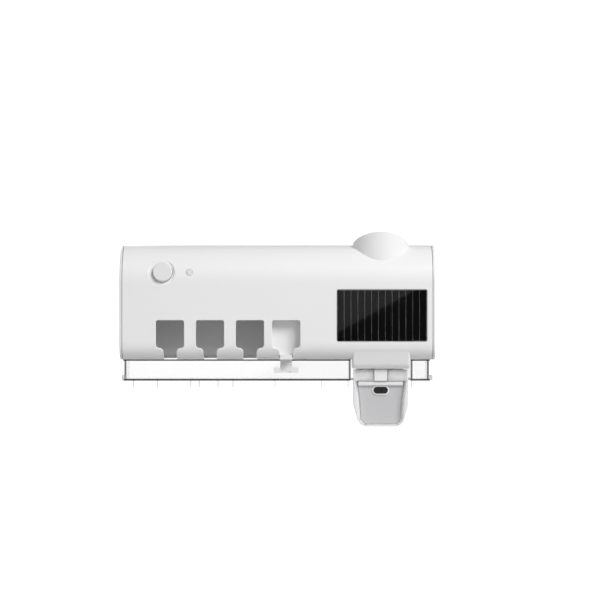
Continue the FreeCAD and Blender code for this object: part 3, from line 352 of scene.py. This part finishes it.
def foam(name, colour):
    """Closed-cell foam: small pits, painted darker towards their bottoms as painted shade."""
    tree, surface = new_material(name)
    place = tree.nodes.new("ShaderNodeTexCoord")
    cells = tree.nodes.new("ShaderNodeTexVoronoi")
    cells.inputs["Scale"].default_value = 2200
    tree.links.new(place.outputs["Object"], cells.inputs["Vector"])
    distance = cells.outputs["Distance"]
    # painted shade: darker where the bump is lowest, at the bottom of each pit
    tree.links.new(tone(tree, distance, shade(colour, 0.7), colour), surface.inputs["Base Color"])
    surface.inputs["Roughness"].default_value = 0.9
    relief(tree, surface, distance, depth=0.0002, strength=0.8)


def board(name, mask, roughness):
    """A circuit board: a solder mask with copper tracks showing through as a lighter tone."""
    tree, surface = new_material(name)
    place = tree.nodes.new("ShaderNodeTexCoord")
    tracks = tree.nodes.new("ShaderNodeTexBrick")
    tracks.inputs["Scale"].default_value = 220
    tracks.inputs["Mortar Size"].default_value = 0.03
    tracks.inputs["Color1"].default_value = (*mask, 1)
    tracks.inputs["Color2"].default_value = (*shade(mask, 0.92), 1)
    tracks.inputs["Mortar"].default_value = (*shade(mask, 1.5), 1)
    turn = tree.nodes.new("ShaderNodeMapping")
    turn.inputs["Rotation"].default_value = (math.pi / 2, 0, 0)
    tree.links.new(place.outputs["Object"], turn.inputs["Vector"])
    tree.links.new(turn.outputs["Vector"], tracks.inputs["Vector"])
    tree.links.new(tracks.outputs["Color"], surface.inputs["Base Color"])
    polish = noise(tree, scale=300)
    tree.links.new(spread(tree, polish, roughness * 0.9, roughness * 1.1), surface.inputs["Roughness"])
    relief(tree, surface, tracks.outputs["Fac"], depth=0.00003, strength=0.4)


def silicon(name):
    """Amorphous silicon strips: nearly black, with fine vertical lines."""
    tree, surface = new_material(name)
    lines = noise(tree, scale=900, detail=2, stretch=(1, 1, 0.01))
    colour = tone(tree, lines, (0.0045, 0.0045, 0.005), (0.0085, 0.0085, 0.009))
    tree.links.new(colour, surface.inputs["Base Color"])
    surface.inputs["Roughness"].default_value = 0.5
    surface.inputs["Specular IOR Level"].default_value = 0.15


def make_materials():
    """One material for each slot in the record, and one for the painted shade lines on the tray."""
    moulded("shell_white", WHITE, 0.30, grain=70, depth=0.000008, fine=0, patchy=0.012)
    moulded("cap_white", shade(WHITE, 0.99), 0.32, grain=70, depth=0.000008, fine=0)
    moulded("back_white", shade(WHITE, 0.95), 0.55, grain=2400, depth=0.00005)
    moulded("button_white", shade(WHITE, 0.90), 0.34)
    moulded("plunger_black", (0.03, 0.03, 0.03), 0.5)
    moulded("switch_black", (0.035, 0.035, 0.037), 0.45)
    board("board_green", (0.02, 0.16, 0.07), 0.42)
    milky("lens_clear", (0.93, 0.93, 0.92), 0.12, clearness=0.15)
    moulded("led_yellow", (0.85, 0.75, 0.25), 0.25)
    moulded("component_black", (0.03, 0.03, 0.033), 0.5, grain=1500)
    metal("port_steel", (0.70, 0.70, 0.71), 0.25)
    moulded("battery_blue", (0.04, 0.18, 0.50), 0.28, patchy=0.1)
    moulded("cradle_grey", (0.20, 0.21, 0.22), 0.5)
    metal("contact_brass", (0.75, 0.72, 0.66), 0.3)
    clear("solar_clear", (1.0, 1.0, 1.0), 0.004, depth=0)
    moulded("solar_backing", (0.035, 0.035, 0.037), 0.5)
    silicon("solar_cell")
    moulded("liner_grey", (0.80, 0.80, 0.81), 0.45, grain=1200, depth=0.00003)
    moulded("lamp_board", (0.80, 0.80, 0.80), 0.4)
    clear("window_clear", (0.96, 0.96, 1.0), 0.04)
    moulded("insert_white", shade(WHITE, 0.97), 0.45)
    moulded("socket_white", shade(WHITE, 0.97), 0.42)
    rubber("silicone_white", (0.80, 0.80, 0.79), glow=0.2)
    rubber("silicone_clear", (0.72, 0.73, 0.74), 0.5, glow=0.4)
    moulded("pump_white", shade(WHITE, 0.96), 0.4)
    milky("lever_frosted", (1.0, 1.0, 1.0), 0.14, clearness=0.04, deep=0.008)
    # the lever's own grey, with a painted highlight on the ledge in front
    moulded_with_painted_highlight("lever_grey", (0.56, 0.56, 0.57), painted_highlight_colour=(0.80, 0.80, 0.81), level=PAINTED_HIGHLIGHT_Y)
    moulded("arm_white", WHITE, 0.3)
    rubber("nozzle_white", (0.86, 0.86, 0.86), 0.5)
    rubber("valve_black", (0.008, 0.008, 0.009), 0.5)
    metal("pin_steel", (0.62, 0.62, 0.63), 0.25, along=(1, 20, 20))
    metal("spring_steel", (0.55, 0.55, 0.57), 0.3)
    clear("tray_clear", (1.0, 1.0, 1.0), 0.02, absorb=60.0)
    # painted shade: dark wires standing in for shade under the housing's lip and along the tray floor's edge
    moulded("tray_painted_shade", (0.035, 0.035, 0.04), 0.25)
    moulded("bracket_white", shade(WHITE, 0.94), 0.5, grain=2000, depth=0.00004)
    foam("pad_foam", (0.42, 0.43, 0.45))
    rubber("bumper_rubber", (0.12, 0.12, 0.125), 0.7)
    metal("screw_steel", (0.58, 0.58, 0.6), 0.3)
    rubber("lead_white", (0.78, 0.78, 0.77), 0.4)
    rubber("lead_red", (0.45, 0.02, 0.02), 0.4)
    rubber("lead_black", (0.02, 0.02, 0.02), 0.4)


def dress_nodes():
    """Every CAD node gets the material of its slot in the record."""
    for node, slot in SLOTS.items():
        mesh = nodes[node].data
        mesh.materials.clear()
        mesh.materials.append(materials[slot])


# ---------------------------------------------------------------- detail pieces

TRAY_RIM_Z = -40.4 * MM  # the top of the tray's walls
RIB_DROP = 4.8 * MM  # how far the ribs hang below the tray's floor
TOUCHING = 0.001 * MM
SAME_PLACE = 0.01 * MM
TO_WALL, TO_FRONT = 1, -1


def welded(node):
    """A bmesh of a node with the points of neighbouring faces joined."""
    shape = bmesh.new()
    shape.from_mesh(nodes[node].data)
    bmesh.ops.remove_doubles(shape, verts=shape.verts, dist=TOUCHING)
    return shape


def islands(node):
    """The lowest and highest corner of each loose part of a node, from left to right."""
    shape = welded(node)
    waiting, found = set(shape.verts), []
    while waiting:
        todo, places = [waiting.pop()], []
        while todo:
            vert = todo.pop()
            places.append(vert.co.copy())
            near = {edge.other_vert(vert) for edge in vert.link_edges} & waiting
            waiting -= near
            todo.extend(near)
        low = Vector(min(place[axis] for place in places) for axis in range(3))
        high = Vector(max(place[axis] for place in places) for axis in range(3))
        found.append((low, high))
    shape.free()
    return sorted(found, key=lambda corners: tuple(round(number, 6) for number in corners[0]))


def mesh_from(shape, name):
    """A mesh of a bmesh, its faces turned outwards; the bmesh is used up."""
    bmesh.ops.recalc_face_normals(shape, faces=shape.faces)
    mesh = bpy.data.meshes.new(name)
    shape.to_mesh(mesh)
    shape.free()
    return mesh


def smooth_with_creases(mesh, crease=35):
    """Smooth shading, but for edges sharper than crease degrees."""
    for face in mesh.polygons:
        face.use_smooth = True
    mesh.set_sharp_from_angle(angle=math.radians(crease))


def stand_in(name, shape, node, body=None):
    """Turns a bmesh into the piece that is shown for a CAD node, on a body if one is given."""
    mesh = mesh_from(shape, name)
    smooth_with_creases(mesh)
    mesh.materials.append(materials[SLOTS[node]])
    thing = link_in(bpy.data.objects.new(name, mesh))
    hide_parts(node)
    if body:
        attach(thing, body)
    return thing


def bridge(shape, rings, steps):
    """Faces from each ring of points to the next; a ring of one point closes to a tip."""
    for lower, upper in zip(rings, rings[1:]):
        for step in range(steps):
            after = (step + 1) % steps
            corners = [lower[step % len(lower)], lower[after % len(lower)]]
            corners += [upper[after % len(upper)], upper[step % len(upper)]]
            shape.faces.new(list(dict.fromkeys(corners)))


def lathe(shape, outline, place, steps=40):
    """A closed turned form about the local Z; the outline starts and ends on the axis."""
    rings = []
    for radius, height in outline:
        count = steps if radius > 0 else 1
        turns = [math.tau * step / steps for step in range(count)]
        spots = [Vector((radius * math.cos(turn), radius * math.sin(turn), height)) for turn in turns]
        rings.append([shape.verts.new(place @ spot) for spot in spots])
    bridge(shape, rings, steps)


def arc_points(centre, radius, start, stop, count):
    """(radius, height) pairs along an arc, angles in degrees from the local X."""
    angles = [math.radians(start + (stop - start) * step / count) for step in range(count + 1)]
    return [(centre[0] + radius * math.cos(turn), centre[1] + radius * math.sin(turn)) for turn in angles]


def screw_outline(head_radius, head_tall, shank_radius, shank_long):
    """A pan head on a threaded shank with a blunt tip; the head sits on height 0."""
    pitch, depth, tip_tall = 0.9 * MM, 0.22 * shank_radius, 0.8 * MM
    outline = [(0, -shank_long), (0.45 * shank_radius, -shank_long)]
    height = -shank_long + tip_tall
    while height < -pitch:
        outline += [(shank_radius - depth, height), (shank_radius, height + 0.5 * pitch)]
        height += pitch
    outline += [(shank_radius - depth, height), (shank_radius - depth, 0), (head_radius, 0)]
    bend = 0.55 * head_tall
    bend_middle = (head_radius - bend, head_tall - 1.25 * bend)
    outline += arc_points(bend_middle, bend, start=0, stop=62, count=5)
    outline += [(0.35 * head_radius, head_tall - 0.05 * MM), (0, head_tall)]
    return outline


def cross_cutter(reach, width, top, depth):
    """A tapered cross, to be cut out of a screw head."""
    taper = 0.45
    shape = bmesh.new()
    corners = []
    for quarter in range(4):
        turn = Matrix.Rotation(quarter * math.pi / 2, 3, "Z")
        for x, y in ((reach, -width), (reach, width), (width, width)):
            corners.append(turn @ Vector((x, y, 0)))
    upper = [shape.verts.new((corner.x, corner.y, top)) for corner in corners]
    lower = [shape.verts.new((taper * corner.x, taper * corner.y, top - depth)) for corner in corners]
    shape.faces.new(upper)
    shape.faces.new(lower[::-1])
    for step in range(len(corners)):
        after = (step + 1) % len(corners)
        shape.faces.new((upper[step], lower[step], lower[after], upper[after]))
    return link_in(bpy.data.objects.new("cross_cutter", mesh_from(shape, "cross_cutter")))


def screw_mesh(head_radius, head_tall, shank_radius, shank_long):
    """One cross-head screw at the origin, its head towards +Z."""
    shape = bmesh.new()
    lathe(shape, screw_outline(head_radius, head_tall, shank_radius, shank_long), Matrix.Identity(4))
    blank = link_in(bpy.data.objects.new("screw", mesh_from(shape, "screw")))
    cutter = cross_cutter(
        reach=0.56 * head_radius,
        width=0.13 * head_radius,
        top=head_tall + 0.2 * MM,
        depth=0.85 * head_tall,
    )
    cut = blank.modifiers.new("cross", "BOOLEAN")
    cut.operation = "DIFFERENCE"
    cut.solver = "EXACT"
    cut.object = cutter
    ready = blank.evaluated_get(bpy.context.evaluated_depsgraph_get())
    result = bpy.data.meshes.new_from_object(ready)
    bpy.data.objects.remove(blank)
    bpy.data.objects.remove(cutter)
    return result


def add_screws(node, head_tall, shank_radius, facing):
    """Cross-head screws in the places of a node's screws, each turned a little further than the last."""
    first_turn, more_turn = 17, 47
    places = islands(node)
    low, high = places[0]
    head_radius = (high.x - low.x) / 2
    one = screw_mesh(head_radius, head_tall, shank_radius, high.y - low.y - head_tall)
    turn = Matrix.Rotation(-facing * math.pi / 2, 4, "X")
    shape = bmesh.new()
    for number, (low, high) in enumerate(places):
        seat = high.y - head_tall if facing == TO_WALL else low.y + head_tall
        spot = Vector(((low.x + high.x) / 2, seat, (low.z + high.z) / 2))
        spin = Matrix.Rotation(math.radians(first_turn + more_turn * number), 4, "Z")
        copy = one.copy()
        copy.transform(Matrix.Translation(spot) @ turn @ spin)
        shape.from_mesh(copy)
        bpy.data.meshes.remove(copy)
    stand_in(node + "_cross_head", shape, node, "housing")


def add_bumpers():
    """Domed rubber feet with a rolled rim, pressed on the back cover."""
    shape = bmesh.new()
    for low, high in islands("rear_bumpers"):
        radius, tall = (high.x - low.x) / 2, high.y - low.y
        outline = [(0, 0), (radius, 0), (radius, 0.45 * tall)]
        outline += arc_points((0.78 * radius, 0.45 * tall), 0.22 * radius, start=12, stop=66, count=4)
        outline += [(0.72 * radius, 0.80 * tall), (0.45 * radius, 0.94 * tall)]
        outline += [(0.2 * radius, 0.99 * tall), (0, tall)]
        middle = Vector(((low.x + high.x) / 2, low.y, (low.z + high.z) / 2))
        lathe(shape, outline, Matrix.Translation(middle) @ Matrix.Rotation(-math.pi / 2, 4, "X"))
    stand_in("domed_bumpers", shape, "rear_bumpers", "housing")


def rounded_corners(low, high, radius, count=6):
    """The outline of a rounded rectangle in X and Z, anticlockwise."""
    spots = []
    for x, z, start in (
        (high.x - radius, high.z - radius, 0),
        (low.x + radius, high.z - radius, 90),
        (low.x + radius, low.z + radius, 180),
        (high.x - radius, low.z + radius, 270),
    ):
        for step in range(count + 1):
            turn = math.radians(start + 90 * step / count)
            spots.append((x + radius * math.cos(turn), z + radius * math.sin(turn)))
    return spots


def add_pads():
    """Adhesive foam pads with rounded corners, each a foam core between two thin glue films."""
    film_share, film_inset, corner_radius = 0.12, 0.25 * MM, 2.2 * MM
    shape = bmesh.new()
    for low, high in islands("adhesive_pads"):
        film = film_share * (high.y - low.y)
        layers = [(low.y, film_inset), (low.y + film, film_inset), (low.y + film, 0)]
        layers += [(high.y - film, 0), (high.y - film, film_inset), (high.y, film_inset)]
        rings = []
        for y, inset in layers:
            inner_low = Vector((low.x + inset, 0, low.z + inset))
            inner_high = Vector((high.x - inset, 0, high.z - inset))
            spots = rounded_corners(inner_low, inner_high, corner_radius)
            rings.append([shape.verts.new((x, y, z)) for x, z in spots])
        bridge(shape, rings, len(rings[0]))
        shape.faces.new(rings[0])
        shape.faces.new(rings[-1])
    stand_in("foam_pads", shape, "adhesive_pads", "bracket")


def wire(name, spots, radius, material):
    """A round wire through the given points."""
    data = bpy.data.curves.new(name, "CURVE")
    data.dimensions = "3D"
    data.bevel_depth = radius
    data.bevel_resolution = 4
    data.use_fill_caps = True
    line = data.splines.new("POLY")
    line.points.add(len(spots) - 1)
    for point, spot in zip(line.points, spots):
        point.co = (*spot, 1)
    data.materials.append(material)
    return link_in(bpy.data.objects.new(name, data))


def add_return_spring():
    """A torsion spring round the hinge pin: its rear leg rests on the pump, the other on the lever."""
    low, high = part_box("lever_return_spring")
    pin_low, pin_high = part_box("lever_hinge_pin")
    y, z = (pin_low.y + pin_high.y) / 2, (pin_low.z + pin_high.z) / 2
    thick, turns, steps = 0.35 * MM, 3.25, 32
    leg_reach, leg_start, leg_gap = 8 * MM, 2 * MM, 0.1 * MM
    leg_bends = ((-0.5 * MM, -4 * MM), (0, -6 * MM), (0, -11 * MM))  # back in Y and down in Z
    radius = (high.z - low.z) / 2 - thick
    left, right = low.x + thick, high.x - thick
    coil = []
    for step in range(int(turns * steps) + 1):
        turn = math.tau * step / steps
        across = left + (right - left) * step / (turns * steps)
        coil.append(Vector((across, y + radius * math.sin(turn), z + radius * math.cos(turn))))
    pump_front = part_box("pump_body")[0].y
    rest_y = max(pump_front, y + leg_reach)
    rear_leg = [Vector((left, rest_y, z + radius)), Vector((left, y + leg_start, z + radius))]
    spring = wire("torsion_spring", rear_leg + coil, thick, materials["spring_steel"])
    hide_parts("lever_return_spring")
    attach(spring, "housing")
    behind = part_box("push_lever")[1].y + thick + leg_gap
    leg = [coil[-1]] + [Vector((right, behind + back, z + down)) for back, down in leg_bends]
    front = wire("torsion_spring_leg", leg, thick, materials["spring_steel"])
    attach(front, "lever")


def add_bellows():
    """The pump's silicone bellows, which on the real pump stays on at one end and goes with the lever at the
    other; here it is put on no body, its transform baked in.
    """
    bellows = stand_in("folding_bellows", welded("pump_bellows"), "pump_bellows")
    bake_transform(bellows)


def add_tray_painted_shade_lines():
    """Dark wires round the clear tray, painted shade: one where it leaves the housing, for the shade under
    the housing's lip; one along its floor's edge, for the dark look of the clear floor seen edge-on.
    """
    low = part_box("drip_tray")[0]
    points = [vert.co for vert in nodes["drip_tray"].data.vertices]
    rim = [place for place in points if abs(place.z - TRAY_RIM_Z) < SAME_PLACE]
    front = min(place.y for place in rim)
    rear = max(place.y for place in rim)
    marks = sorted({round(place.x, 5) for place in rim if place.y < front + SAME_PLACE})
    radius, proud = 0.5 * MM, 0.4 * MM
    levels = (("rim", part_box("left_end_cap")[0].z - radius), ("floor", low.z + RIB_DROP + radius))
    sides = (("left", marks[0], marks[1], -1), ("right", marks[-1], marks[-2], 1))
    for edge, level in levels:
        for side, outer, inner, way in sides:
            spots = [
                Vector((outer + way * proud, rear, level)),
                Vector((outer + way * proud, front - proud, level)),
                Vector((inner, front - proud, level)),
            ]
            # each wire is a painted shade line, not a part of the tray
            line = wire(f"tray_{edge}_{side}", spots, radius, materials["tray_painted_shade"])
            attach(line, "tray")


# ---------------------------------------------------------------- build

bpy.context.scene.view_settings.view_transform = "Standard"
add_camera()
add_world()
add_floor()
add_key()
add_back_light()
add_panel_reflection()
make_materials()
dress_nodes()
add_screws("cover_screws", head_tall=1.6 * MM, shank_radius=1.3 * MM, facing=TO_WALL)
add_screws("board_screws", head_tall=1.2 * MM, shank_radius=0.9 * MM, facing=TO_FRONT)
add_screws("pump_screws", head_tall=1.6 * MM, shank_radius=1.1 * MM, facing=TO_FRONT)
add_bumpers()
add_pads()
add_return_spring()
add_bellows()
add_tray_painted_shade_lines()
